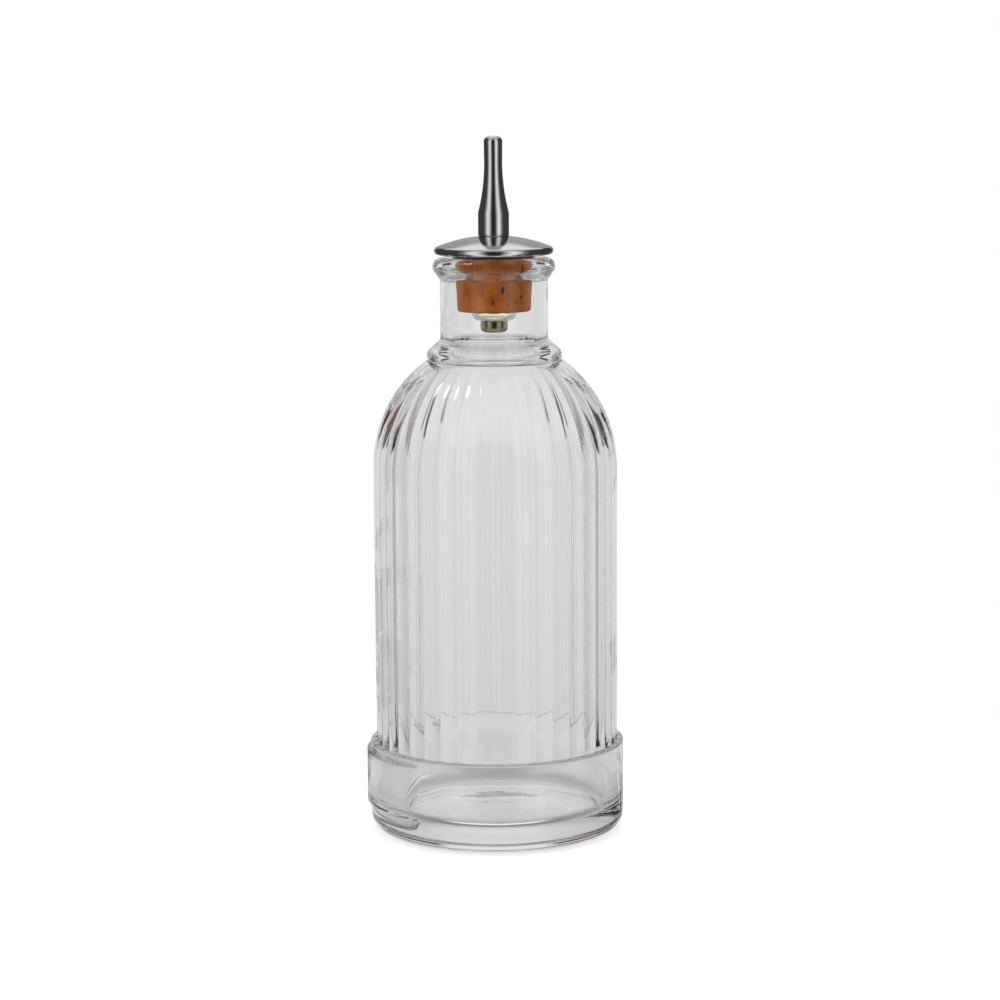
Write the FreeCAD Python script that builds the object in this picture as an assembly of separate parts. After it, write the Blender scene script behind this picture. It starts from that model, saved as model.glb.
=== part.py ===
"""Bitters bottle: a reeded glass bottle closed by a cork dash stopper with a metal spout.

Millimetres, +Z up. The origin is the middle of the base, on the surface that the bottle stands on,
and the bottle's front is towards -Y.
"""
import FreeCAD, Part
import math
import os

# Glass bottle: base band and reeded body
BODY_DIAMETER = 59.1        # over the crests of the reeds
BAND_LEDGE = 1.45           # how far the plain base band stands out from the reeds
BAND_HEIGHT = 21.8
BAND_TOP_ROUND = 0.4
FOOT_ROUND = 4.0
REED_COUNT = 40
REED_DEPTH = 0.36           # from crest to valley on the straight body
BODY_STRAIGHT = 67.5        # straight reeded height above the band
SHOULDER_RADIUS = 31.4      # radius of the domed shoulder's outline
BODY_WALL = 2.9             # glass from the inside to the crest of a reed
FLOOR_THICKNESS = 5.6       # from the standing surface to the inside floor
INSIDE_CORNER = 3.2         # rounding between floor and wall inside
BEARING_WIDTH = 5.0         # flat ring that the bottle stands on
PUSH_UP_DEPTH = 0.25        # hollow under the base

# Glass bottle: raised bare panel on the band
PANEL_HEIGHT = 13.2
PANEL_ABOVE_FOOT = 2.8      # from the top of the foot rounding to the panel
PANEL_ANGLE = 108.0
PANEL_PROUD = 0.95
PANEL_ROUND = 0.45

# Glass bottle: neck, ring at its foot and rolled lip
MOUTH_DIAMETER = 18.9       # the narrow ring of the mouth that grips the cork
MOUTH_EASE = 0.75           # how much wider the neck is inside, on the radius, below that ring
MOUTH_GRIP = 1.25           # height of the narrow ring
MOUTH_STEP = 1.8            # height of the slope under it
MOUTH_ROUND = 0.9
NECK_WALL = 2.8
NECK_LENGTH = 14.4
NECK_FILLET = 0.6
NECK_INSIDE_ROUND = 4.0     # rounding where the neck opens into the shoulder inside
RING_OVERHANG = 3.28
RING_HEIGHT = 5.02
RING_SLOPE = 3.0            # height of the ring's sloping top
RING_ROUND = 1.2
RING_FILLET = 2.0           # between the ring's sloping top and the neck
LIP_OVERHANG = 1.75
LIP_HEIGHT = 5.25
LIP_SLOPE = 2.4             # height of the lip's sloping underside
LIP_UNDER_ROUND = 1.9
LIP_ROUND = 2.1

# Cork
CORK_HEIGHT = 13.0
CORK_PROUD = 0.17           # how far the cork stands above the lip
CORK_TAPER = 0.048          # loss of radius for each millimetre down
CORK_FIT = 0.05             # gap to the narrow ring of the mouth
CORK_EDGE = 0.6             # worn lower edge

# Rubber washer and cap disc
WASHER_THICKNESS = 0.8
WASHER_OVERHANG = 0.75      # beyond the top of the cork
WASHER_ROUND = 0.2
DISC_DIAMETER = 28.7
DISC_DOME_RADIUS = 37.0
DISC_RIM_ROUND = 1.0
DISC_RECESS = 0.3           # shallow recess that centres the washer
DISC_RECESS_GAP = 0.15

# Spout
SPOUT_LENGTH = 23.85
SPOUT_FOOT_DIAMETER = 7.45
SPOUT_FOOT_LENGTH = 5.6     # straight foot below the taper
SPOUT_FOOT_CHAMFER = 0.2
SPOUT_KNEE_ROUND = 3.0      # softens the corner between foot and taper
SPOUT_WAIST_DIAMETER = 4.34
SPOUT_WAIST_HEIGHT = 17.75  # above the foot
SPOUT_TIP_DIAMETER = 4.5
SPOUT_TIP_ROUND = 1.35
SPOUT_OUTLET_DIAMETER = 1.7
SPOUT_OUTLET_LENGTH = 5.0   # narrow end of the passage
SPOUT_PASSAGE_DIAMETER = 2.6
SPOUT_SOCKET_ROOM = 1.6     # how far the socket goes on past the end of the screw

# Hollow screw and its thread
SCREW_DIAMETER = 5.0        # over the thread
SCREW_BORE = 2.6
SCREW_REACH = 5.8           # how far the shank goes into the spout
SCREW_END_CHAMFER = 0.3
SCREW_HEAD_DIAMETER = 6.6
SCREW_HEAD_HEIGHT = 2.75
SCREW_HEAD_ROUND = 1.1
SCREW_SLOT_WIDTH = 0.9
SCREW_SLOT_DEPTH = 1.0
THREAD_PITCH = 0.8
THREAD_DEPTH = 0.42
THREAD_CREST = 0.12         # flat on top of the ridge
THREAD_ROOT = 0.46          # width of the ridge at its foot
THREAD_TURNS = 7
THREAD_GAP = 0.1            # all round the ridge in its groove
THREAD_SINK = 0.08          # how deep the ridge's foot is set in the shank
SHANK_GAP = 0.15            # round the screw where it passes through a piece

# Cup washer under the cork
CUP_DIAMETER = 11.2
CUP_HEIGHT = 2.35
CUP_THICKNESS = 0.6
CUP_SEAT_WIDTH = 0.65       # flat for the screw's head, outside the hole

# Radii that follow from the sizes above
body_radius = BODY_DIAMETER / 2
band_radius = body_radius + BAND_LEDGE
cavity_radius = body_radius - BODY_WALL
mouth_radius = MOUTH_DIAMETER / 2
neck_bore_radius = mouth_radius + MOUTH_EASE
neck_radius = neck_bore_radius + NECK_WALL
ring_radius = neck_radius + RING_OVERHANG
lip_radius = neck_radius + LIP_OVERHANG
disc_radius = DISC_DIAMETER / 2
spout_foot_radius = SPOUT_FOOT_DIAMETER / 2
screw_radius = SCREW_DIAMETER / 2
passing_radius = screw_radius + SHANK_GAP

# Heights of the bottle. The shoulder's centre lies past the axis by the difference of the two radii.
shoulder_foot = BAND_HEIGHT + BODY_STRAIGHT
shoulder_centre = body_radius - SHOULDER_RADIUS
ring_foot = shoulder_foot + math.sqrt(SHOULDER_RADIUS ** 2 - (ring_radius - shoulder_centre) ** 2)
neck_foot = ring_foot + RING_HEIGHT
lip_foot = neck_foot + NECK_LENGTH
lip_top = lip_foot + LIP_HEIGHT
mouth_tight = lip_top - MOUTH_ROUND

# Heights of the stopper
cork_top = lip_top + CORK_PROUD
cork_foot = cork_top - CORK_HEIGHT
cork_top_radius = mouth_radius - CORK_FIT + CORK_TAPER * (cork_top - mouth_tight)
cork_foot_radius = cork_top_radius - CORK_TAPER * CORK_HEIGHT
washer_radius = cork_top_radius + WASHER_OVERHANG
washer_top = cork_top + WASHER_THICKNESS
disc_underside = washer_top - DISC_RECESS
rim_centre_radius = disc_radius - DISC_RIM_ROUND
rim_centre = disc_underside + DISC_RIM_ROUND
rim_to_dome_centre = DISC_DOME_RADIUS - DISC_RIM_ROUND
dome_centre = rim_centre - math.sqrt(rim_to_dome_centre ** 2 - rim_centre_radius ** 2)
spout_seat = dome_centre + math.sqrt(DISC_DOME_RADIUS ** 2 - spout_foot_radius ** 2)
spout_top = spout_seat + SPOUT_LENGTH
cup_foot = cork_foot - CUP_HEIGHT

# The spout and the screw are drawn from the spout's seat and then raised to it, so that their threads
# stay the same whatever the bottle's size. This is where the screw's thread starts, from that seat.
thread_start = SCREW_REACH - SCREW_END_CHAMFER - THREAD_ROOT - THREAD_PITCH * THREAD_TURNS

# Directions in degrees: round the bottle from +X, and in a half section from outwards
FULL_TURN = 360.0
FRONT = -90.0
LEFT = 180.0
UP = 90.0
DOWN = -90.0
INWARD = 180.0
SAME_POINT = 1e-7           # a shorter line is left out of an outline


def point(radius, height):
    return FreeCAD.Vector(radius, 0, height)


class Outline:
    """A half section in the XZ plane, drawn point by point and turned about the Z axis."""

    def __init__(self, radius, height):
        self.start = point(radius, height)
        self.pen = self.start
        self.edges = []

    def line_to(self, radius, height):
        end = point(radius, height)
        if self.pen.distanceToPoint(end) > SAME_POINT:
            self.edges.append(Part.LineSegment(self.pen, end).toShape())
        self.pen = end
        return self

    def arc_to(self, via, end):
        via, end = point(*via), point(*end)
        self.edges.append(Part.Arc(self.pen, via, end).toShape())
        self.pen = end
        return self

    def round_to(self, corner, rounding, onward):
        """Line towards a corner, then the arc that rounds it off in the direction of the point onward."""
        corner, onward = point(*corner), point(*onward)
        back = (self.pen - corner).normalize()
        ahead = (onward - corner).normalize()
        half_angle = back.getAngle(ahead) / 2
        run_in = rounding / math.tan(half_angle)
        inside = (back + ahead).normalize()
        middle = corner + inside * (rounding / math.sin(half_angle) - rounding)
        arc_start = corner + back * run_in
        arc_end = corner + ahead * run_in
        self.line_to(arc_start.x, arc_start.z)
        return self.arc_to((middle.x, middle.z), (arc_end.x, arc_end.z))

    def turned(self, angle=FULL_TURN):
        self.line_to(self.start.x, self.start.z)
        face = Part.Face(Part.Wire(self.edges))
        return face.revolve(FreeCAD.Vector(), FreeCAD.Vector(0, 0, 1), angle)


def on_circle(centre_radius, centre_height, radius, degrees):
    """Point of a circle in the half section, by its angle above the outward direction."""
    angle = math.radians(degrees)
    return centre_radius + radius * math.cos(angle), centre_height + radius * math.sin(angle)


def reeded_wire(crest_radius, height):
    """One level of the reeds: an arc for each, with its valleys on the lines between reeds."""
    valley_radius = crest_radius - REED_DEPTH * crest_radius / body_radius
    step = FULL_TURN / REED_COUNT

    def at(radius, degrees):
        angle = math.radians(degrees)
        return FreeCAD.Vector(radius * math.cos(angle), radius * math.sin(angle), height)

    arcs = []
    for index in range(REED_COUNT):
        first = FRONT + index * step
        valley = at(valley_radius, first)
        crest = at(crest_radius, first + step / 2)
        next_valley = at(valley_radius, first + step)
        arcs.append(Part.Arc(valley, crest, next_valley).toShape())
    return Part.Wire(arcs)


def reeded_body():
    """Reeds from inside the band, up the straight wall and over the shoulder into the ring."""
    foot = BAND_HEIGHT - FOOT_ROUND
    straight_levels = 6
    shoulder_levels = 7
    inside_ring = ring_radius - RING_ROUND
    last_angle = math.degrees(math.acos((inside_ring - shoulder_centre) / SHOULDER_RADIUS))
    wires = []
    for level in range(straight_levels):
        share = level / straight_levels
        wires.append(reeded_wire(body_radius, foot + share * (shoulder_foot - foot)))
    for level in range(shoulder_levels + 1):
        angle = last_angle * level / shoulder_levels
        wires.append(reeded_wire(*on_circle(shoulder_centre, shoulder_foot, SHOULDER_RADIUS, angle)))
    return Part.makeLoft(wires, True)


def base_band():
    outline = Outline(0, 0)
    outline.round_to((band_radius, 0), FOOT_ROUND, (band_radius, BAND_HEIGHT))
    outline.round_to((band_radius, BAND_HEIGHT), BAND_TOP_ROUND, (0, BAND_HEIGHT))
    outline.line_to(0, BAND_HEIGHT)
    return outline.turned()


def neck_and_lip():
    """Ring, neck and lip. The ring's foot goes a little way down into the shoulder."""
    ring_root = ring_foot - RING_SLOPE
    ring_edge = (ring_radius, neck_foot - RING_SLOPE)
    neck_low = (neck_radius, neck_foot)
    neck_high = (neck_radius, lip_foot)
    lip_low = (lip_radius, lip_foot + LIP_SLOPE)
    lip_high = (lip_radius, lip_top)
    outline = Outline(0, ring_root)
    outline.line_to(ring_radius, ring_root)
    outline.round_to(ring_edge, RING_ROUND, neck_low)
    outline.round_to(neck_low, RING_FILLET, neck_high)
    outline.round_to(neck_high, NECK_FILLET, lip_low)
    outline.round_to(lip_low, LIP_UNDER_ROUND, lip_high)
    outline.round_to(lip_high, LIP_ROUND, (0, lip_top))
    outline.line_to(0, lip_top)
    return outline.turned()


def raised_panel():
    """Bare panel on the band, bent round it and rounded along its outer edges."""
    low = FOOT_ROUND + PANEL_ABOVE_FOOT
    high = low + PANEL_HEIGHT
    inner = band_radius - PANEL_PROUD
    outer = band_radius + PANEL_PROUD
    outline = Outline(inner, low)
    outline.line_to(outer, low).line_to(outer, high).line_to(inner, high)
    panel = outline.turned(PANEL_ANGLE)
    panel.rotate(FreeCAD.Vector(), FreeCAD.Vector(0, 0, 1), LEFT - PANEL_ANGLE / 2)
    reach = (band_radius + outer) / 2
    edges = [edge for edge in panel.Edges if all(math.hypot(v.X, v.Y) > reach for v in edge.Vertexes)]
    return panel.makeFillet(PANEL_ROUND, edges)


def bottle_inside():
    """The hollow of the bottle: floor, wall, shoulder, neck and the narrow ring of the mouth."""
    shoulder_inside = SHOULDER_RADIUS - BODY_WALL
    turn_radius = neck_bore_radius + NECK_INSIDE_ROUND
    turn_reach = shoulder_inside + NECK_INSIDE_ROUND
    turn_angle = math.degrees(math.acos((turn_radius - shoulder_centre) / turn_reach))
    turn_centre = on_circle(shoulder_centre, shoulder_foot, turn_reach, turn_angle)
    above = lip_top + MOUTH_ROUND
    mouth_edge_radius = mouth_radius + MOUTH_ROUND
    mouth_bend = on_circle(mouth_edge_radius, mouth_tight, MOUTH_ROUND, (INWARD + UP) / 2)

    def shoulder(degrees):
        return on_circle(shoulder_centre, shoulder_foot, shoulder_inside, degrees)

    def turn(degrees):
        return on_circle(*turn_centre, NECK_INSIDE_ROUND, degrees)

    outline = Outline(0, FLOOR_THICKNESS)
    outline.round_to((cavity_radius, FLOOR_THICKNESS), INSIDE_CORNER, (cavity_radius, shoulder_foot))
    outline.line_to(cavity_radius, shoulder_foot)
    outline.arc_to(shoulder(turn_angle / 2), shoulder(turn_angle))
    outline.arc_to(turn(INWARD + turn_angle / 2), turn(INWARD))
    outline.line_to(neck_bore_radius, mouth_tight - MOUTH_GRIP - MOUTH_STEP)
    outline.line_to(mouth_radius, mouth_tight - MOUTH_GRIP)
    outline.line_to(mouth_radius, mouth_tight)
    outline.arc_to(mouth_bend, (mouth_edge_radius, lip_top))
    outline.line_to(mouth_edge_radius, above)
    outline.line_to(0, above)
    return outline.turned()


def push_up():
    """The shallow dome under the base, inside the ring that the bottle stands on."""
    edge = band_radius - FOOT_ROUND - BEARING_WIDTH
    radius = (edge ** 2 + PUSH_UP_DEPTH ** 2) / (2 * PUSH_UP_DEPTH)
    return Part.makeSphere(radius, point(0, PUSH_UP_DEPTH - radius))


def glass_bottle():
    outside = base_band().fuse([reeded_body(), neck_and_lip(), raised_panel()])
    return outside.cut([bottle_inside(), push_up()])


def cork_stopper():
    edge_radius = cork_foot_radius + CORK_TAPER * CORK_EDGE
    outline = Outline(passing_radius, cork_foot)
    outline.line_to(edge_radius - CORK_EDGE, cork_foot)
    outline.line_to(edge_radius, cork_foot + CORK_EDGE)
    outline.line_to(cork_top_radius, cork_top)
    outline.line_to(passing_radius, cork_top)
    return outline.turned()


def sealing_washer():
    outline = Outline(passing_radius, cork_top)
    outline.round_to((washer_radius, cork_top), WASHER_ROUND, (washer_radius, washer_top))
    outline.round_to((washer_radius, washer_top), WASHER_ROUND, (passing_radius, washer_top))
    outline.line_to(passing_radius, washer_top)
    return outline.turned()


def cap_disc():
    """Domed disc. Its rounded rim runs into the dome, and its top is flat where the spout stands."""
    recess_radius = washer_radius + DISC_RECESS_GAP
    rim_angle = math.degrees(math.acos(rim_centre_radius / rim_to_dome_centre))
    seat_angle = math.degrees(math.acos(spout_foot_radius / DISC_DOME_RADIUS))

    def rim(degrees):
        return on_circle(rim_centre_radius, rim_centre, DISC_RIM_ROUND, degrees)

    def dome(degrees):
        return on_circle(0, dome_centre, DISC_DOME_RADIUS, degrees)

    outline = Outline(passing_radius, washer_top)
    outline.line_to(recess_radius, washer_top)
    outline.line_to(recess_radius, disc_underside)
    outline.line_to(rim_centre_radius, disc_underside)
    outline.arc_to(rim(0), rim(rim_angle))
    outline.arc_to(dome((rim_angle + seat_angle) / 2), dome(seat_angle))
    outline.line_to(passing_radius, spout_seat)
    return outline.turned()


def half_thread(depth, gap):
    """Half the width of the thread's ridge, or of its groove, at a depth below the crest."""
    slope = (THREAD_ROOT - THREAD_CREST) / 2 / THREAD_DEPTH
    return THREAD_CREST / 2 + gap + slope * depth


def thread_ridge(start, turns, gap):
    """A helical ridge of whole turns, or with a gap the groove that it runs in. Its foot is set in the wall."""
    crest = screw_radius + gap
    sunk_depth = THREAD_DEPTH + THREAD_SINK
    half_crest = half_thread(0, gap)
    half_root = half_thread(sunk_depth, gap)
    corners = [
        point(crest - sunk_depth, start - half_root),
        point(crest, start - half_crest),
        point(crest, start + half_crest),
        point(crest - sunk_depth, start + half_root),
    ]
    profile = Part.Wire(Part.makePolygon(corners + corners[:1]))
    one_turn = Part.makeHelix(THREAD_PITCH, THREAD_PITCH, screw_radius)
    edges = []
    for turn in range(turns):
        edges += one_turn.translated(point(0, start + turn * THREAD_PITCH)).Edges
    return Part.Wire(edges).makePipeShell([profile], True, True)


def spout():
    """Tapered spout with a rounded tip, a passage and a threaded socket in its foot."""
    waist_radius = SPOUT_WAIST_DIAMETER / 2
    tip_radius = SPOUT_TIP_DIAMETER / 2
    outlet_radius = SPOUT_OUTLET_DIAMETER / 2
    passage_radius = SPOUT_PASSAGE_DIAMETER / 2
    socket_radius = screw_radius - THREAD_DEPTH + THREAD_GAP
    relief_radius = screw_radius + 2 * THREAD_GAP
    socket_depth = SCREW_REACH + SPOUT_SOCKET_ROOM
    half_groove = half_thread(THREAD_DEPTH + THREAD_SINK, THREAD_GAP)
    relief_foot = socket_depth - THREAD_PITCH - 2 * half_groove
    outlet_foot = SPOUT_LENGTH - SPOUT_OUTLET_LENGTH

    # The taper is an arc that is upright at the waist.
    drop = SPOUT_WAIST_HEIGHT - SPOUT_FOOT_LENGTH
    spread = spout_foot_radius - waist_radius
    taper_radius = (drop ** 2 + spread ** 2) / (2 * spread)
    taper_turn = math.degrees(math.asin(drop / taper_radius))

    def taper(degrees):
        return on_circle(waist_radius + taper_radius, SPOUT_WAIST_HEIGHT, taper_radius, INWARD + degrees)

    # The knee takes up the lowest part of the taper.
    knee_share = 0.15
    above_knee = taper_turn * (1 - knee_share)
    outline = Outline(socket_radius, 0)
    outline.line_to(spout_foot_radius - SPOUT_FOOT_CHAMFER, 0)
    outline.line_to(spout_foot_radius, SPOUT_FOOT_CHAMFER)
    outline.round_to((spout_foot_radius, SPOUT_FOOT_LENGTH), SPOUT_KNEE_ROUND, taper(above_knee))
    outline.line_to(*taper(above_knee))
    outline.arc_to(taper(above_knee / 2), taper(0))
    outline.round_to((tip_radius, SPOUT_LENGTH), SPOUT_TIP_ROUND, (outlet_radius, SPOUT_LENGTH))
    outline.line_to(outlet_radius, SPOUT_LENGTH)
    outline.line_to(outlet_radius, outlet_foot)
    outline.line_to(passage_radius, outlet_foot - SPOUT_PASSAGE_DIAMETER)
    outline.line_to(passage_radius, socket_depth)
    outline.line_to(relief_radius, socket_depth)
    outline.line_to(relief_radius, relief_foot)
    outline.line_to(socket_radius, relief_foot)
    body = outline.turned()

    # The groove keeps step with the ridge of the screw: it starts whole turns away from it, below the foot,
    # and runs out in the relief, which has room for a whole turn.
    turns_below = math.ceil(thread_start / THREAD_PITCH) + 1
    groove_start = thread_start - turns_below * THREAD_PITCH
    groove_turns = math.floor((socket_depth - half_groove - groove_start) / THREAD_PITCH)
    threaded = body.cut(thread_ridge(groove_start, groove_turns, THREAD_GAP))
    return threaded.translated(point(0, spout_seat))


def hollow_screw():
    """Round-headed screw with a bore, a slot across its head and a thread at its other end."""
    shank_radius = screw_radius - THREAD_DEPTH
    bore_radius = SCREW_BORE / 2
    head_radius = SCREW_HEAD_DIAMETER / 2
    head_top = cup_foot - spout_seat
    head_end = head_top - SCREW_HEAD_HEIGHT
    outline = Outline(bore_radius, head_end)
    outline.round_to((head_radius, head_end), SCREW_HEAD_ROUND, (head_radius, head_top))
    outline.line_to(head_radius, head_top)
    outline.line_to(shank_radius, head_top)
    outline.line_to(shank_radius, SCREW_REACH - SCREW_END_CHAMFER)
    outline.line_to(shank_radius - SCREW_END_CHAMFER, SCREW_REACH)
    outline.line_to(bore_radius, SCREW_REACH)
    slot = Part.makeBox(
        SCREW_HEAD_DIAMETER,
        SCREW_SLOT_WIDTH,
        SCREW_SLOT_DEPTH,
        FreeCAD.Vector(-head_radius, -SCREW_SLOT_WIDTH / 2, head_end),
    )
    screw = outline.turned().fuse(thread_ridge(thread_start, THREAD_TURNS, 0)).cut(slot)
    return screw.translated(point(0, spout_seat))


def cup_washer():
    """Dished washer: a flat seat for the screw's head and a bowl whose rim meets the cork."""
    seat_radius = passing_radius + CUP_SEAT_WIDTH
    rim_radius = CUP_DIAMETER / 2
    spread = rim_radius - seat_radius
    bowl_radius = (spread ** 2 + CUP_HEIGHT ** 2) / (2 * CUP_HEIGHT)
    bowl_turn = math.degrees(math.acos((bowl_radius - CUP_HEIGHT) / bowl_radius))
    inner_radius = bowl_radius - CUP_THICKNESS
    inner_turn = math.degrees(math.acos((bowl_radius - CUP_HEIGHT) / inner_radius))

    def bowl(radius, degrees):
        return on_circle(seat_radius, cup_foot + bowl_radius, radius, DOWN + degrees)

    outline = Outline(passing_radius, cup_foot)
    outline.line_to(seat_radius, cup_foot)
    outline.arc_to(bowl(bowl_radius, bowl_turn / 2), bowl(bowl_radius, bowl_turn))
    outline.line_to(*bowl(inner_radius, inner_turn))
    outline.arc_to(bowl(inner_radius, inner_turn / 2), bowl(inner_radius, 0))
    outline.line_to(passing_radius, cup_foot + CUP_THICKNESS)
    return outline.turned()


PIECES = [
    glass_bottle,
    cork_stopper,
    sealing_washer,
    cap_disc,
    spout,
    cup_washer,
    hollow_screw,
]

os.makedirs("parts", exist_ok=True)
for piece in PIECES:
    shape = piece()
    solid = shape.Solids[0]
    print(piece.__name__, len(shape.Solids), shape.isValid(), round(shape.Volume, 2), "mm3")
    solid.exportStep(f"parts/{piece.__name__}.step")
print("height", round(spout_top, 2), "lip", round(lip_top, 2), "ring", round(ring_foot, 2))
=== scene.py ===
"""Dresses the bitters bottle: reeded glass, cork dash stopper and polished spout, on a pale studio floor."""
import math

import bmesh
import bpy
from mathutils import Matrix, Vector


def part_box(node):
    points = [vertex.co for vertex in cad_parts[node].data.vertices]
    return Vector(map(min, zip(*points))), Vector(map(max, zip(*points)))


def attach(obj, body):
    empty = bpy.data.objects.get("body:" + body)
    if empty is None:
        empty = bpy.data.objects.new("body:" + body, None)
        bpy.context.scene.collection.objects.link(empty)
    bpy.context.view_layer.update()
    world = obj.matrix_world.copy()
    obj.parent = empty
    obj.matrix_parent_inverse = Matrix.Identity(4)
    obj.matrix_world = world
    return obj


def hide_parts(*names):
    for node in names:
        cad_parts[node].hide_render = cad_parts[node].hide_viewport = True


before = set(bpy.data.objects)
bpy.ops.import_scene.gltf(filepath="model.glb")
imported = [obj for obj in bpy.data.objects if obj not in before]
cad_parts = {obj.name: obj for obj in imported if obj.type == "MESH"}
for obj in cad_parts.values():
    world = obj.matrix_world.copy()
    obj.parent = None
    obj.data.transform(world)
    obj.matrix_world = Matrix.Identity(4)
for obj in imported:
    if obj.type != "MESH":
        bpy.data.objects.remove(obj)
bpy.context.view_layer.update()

bl_info = {
    "name": "Bitters Bottle",
    "version": (1, 0, 0),
    "blender": (4, 5, 0),
    "location": "View3D > Sidebar > Bitters Bottle",
    "description": "Builds a reeded glass bitters bottle with a cork dash stopper, and a studio stage for it",
    "category": "Object",
}

MM = 0.001
FULL_TURN = 2 * math.pi
FRONT = -math.pi / 2
ON_AXIS = 1e-7
BLACK = (0.0, 0.0, 0.0)
WHITE = (1.0, 1.0, 1.0)

# Boxes of the fixed frame that the pieces are fitted to
GLASS_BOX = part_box("glass_bottle")
CORK_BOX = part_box("cork_stopper")
WASHER_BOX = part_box("sealing_washer")
DISC_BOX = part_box("cap_disc")
SPOUT_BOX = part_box("spout")
CUP_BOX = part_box("cup_washer")


# Settings

def number(label, value, words, **more):
    return bpy.props.FloatProperty(name=label, description=words, default=value, **more)


def length(label, millimetres, words):
    """A size that a user would change, shown in the scene's own units."""
    return number(label, millimetres * MM, words, min=0.0, unit="LENGTH", precision=5)


def angle(label, degrees, words, **limits):
    return number(label, math.radians(degrees), words, unit="ROTATION", **limits)


def colour(label, red_green_blue, words):
    """A finish's colour, as scene-linear values."""
    return bpy.props.FloatVectorProperty(
        name=label, description=words, default=red_green_blue, size=3, min=0.0, max=1.0, subtype="COLOR"
    )


class GlassSizes(bpy.types.PropertyGroup):
    """Sizes of the pressed glass bottle."""

    band_ledge: length("Band ledge", 1.45, "How far the plain base band stands out from the reeds")
    band_height: length("Band height", 21.8, "Height of the plain base band")
    band_top_round: length("Band top round", 0.4, "Rounding of the band's upper edge")
    foot_round: length("Foot round", 4.0, "Rounding of the band's lower edge")
    reed_count: bpy.props.IntProperty(name="Reeds", description="Reeds round the body", default=40, min=3)
    reed_depth: length("Reed depth", 0.36, "From the crest of a reed to the valley beside it")
    reed_gap: length("Reed gap", 1.2, "Smooth glass between the neck ring and the reeds")
    reed_fade: length("Reed fade", 7.0, "Length over which the reeds run out under the neck ring")
    body_straight: length("Straight body", 67.5, "Straight reeded height above the band")
    shoulder_radius: length("Shoulder radius", 31.4, "Radius of the domed shoulder's outline")
    body_wall: length("Body wall", 2.9, "Glass from the inside to the crest of a reed")
    inside_drop: length("Inside drop", 0.3, "How far the inside's shoulder starts below the outside's")
    floor_thickness: length("Floor", 5.6, "From the standing surface to the inside floor")
    inside_corner: length("Inside corner", 3.2, "Rounding between floor and wall inside")
    bearing_width: length("Bearing ring", 5.0, "Flat ring that the bottle stands on")
    push_up_depth: length("Push-up", 0.25, "Depth of the hollow under the base")
    panel_height: length("Panel height", 13.2, "Height of the raised bare panel")
    panel_above_foot: length("Panel gap", 2.8, "From the foot's rounding to the panel")
    panel_proud: length("Panel proud", 0.95, "How far the panel stands out from the band")
    panel_round: length("Panel round", 0.45, "Rounding of the panel's upper and lower edges")
    panel_end: length("Panel end", 9.0, "Length over which the panel's ends run out into the band")
    panel_angle: angle("Panel angle", 108, "How far the panel goes round the band", min=0.0, max=math.pi)
    mouth_diameter: length("Mouth", 18.9, "Narrow ring of the mouth that grips the cork")
    mouth_ease: length("Mouth ease", 0.75, "How much wider the neck is below that ring, on the radius")
    mouth_grip: length("Mouth grip", 2.15, "From the top of the lip to the foot of that ring")
    mouth_step: length("Mouth step", 1.8, "Height of the slope under that ring")
    mouth_round: length("Mouth round", 0.9, "Rounding of the mouth's upper edge")
    step_round: length("Step round", 0.3, "Rounding at both ends of that slope")
    neck_wall: length("Neck wall", 2.8, "Glass of the neck")
    neck_length: length("Neck length", 14.4, "Straight neck between its ring and the lip")
    neck_fillet: length("Neck fillet", 0.6, "Rounding between the neck and the lip")
    neck_inside_round: length("Neck opening", 4.0, "Rounding where the neck opens into the shoulder")
    ring_overhang: length("Ring overhang", 3.28, "How far the ring stands out from the neck")
    ring_slope: length("Ring slope", 3.0, "Height of the ring's sloping top")
    ring_round: length("Ring round", 1.2, "Rounding of the ring's edge")
    ring_fillet: length("Ring fillet", 2.0, "Hollow between the ring and the neck")
    ring_crease: length("Ring crease", 0.4, "Depth of the crease under the ring")
    lip_overhang: length("Lip overhang", 1.75, "How far the rolled lip stands out from the neck")
    lip_height: length("Lip height", 5.25, "Height of the rolled lip")
    lip_slope: length("Lip slope", 2.4, "Height of the lip's sloping underside")
    lip_under_round: length("Lip under round", 1.9, "Rounding of the lip's lower edge")
    lip_round: length("Lip round", 2.1, "Rounding of the lip's upper edge")
    ripple: length("Ripple", 0.05, "Unevenness of the inside, where the glass was blown")


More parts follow.
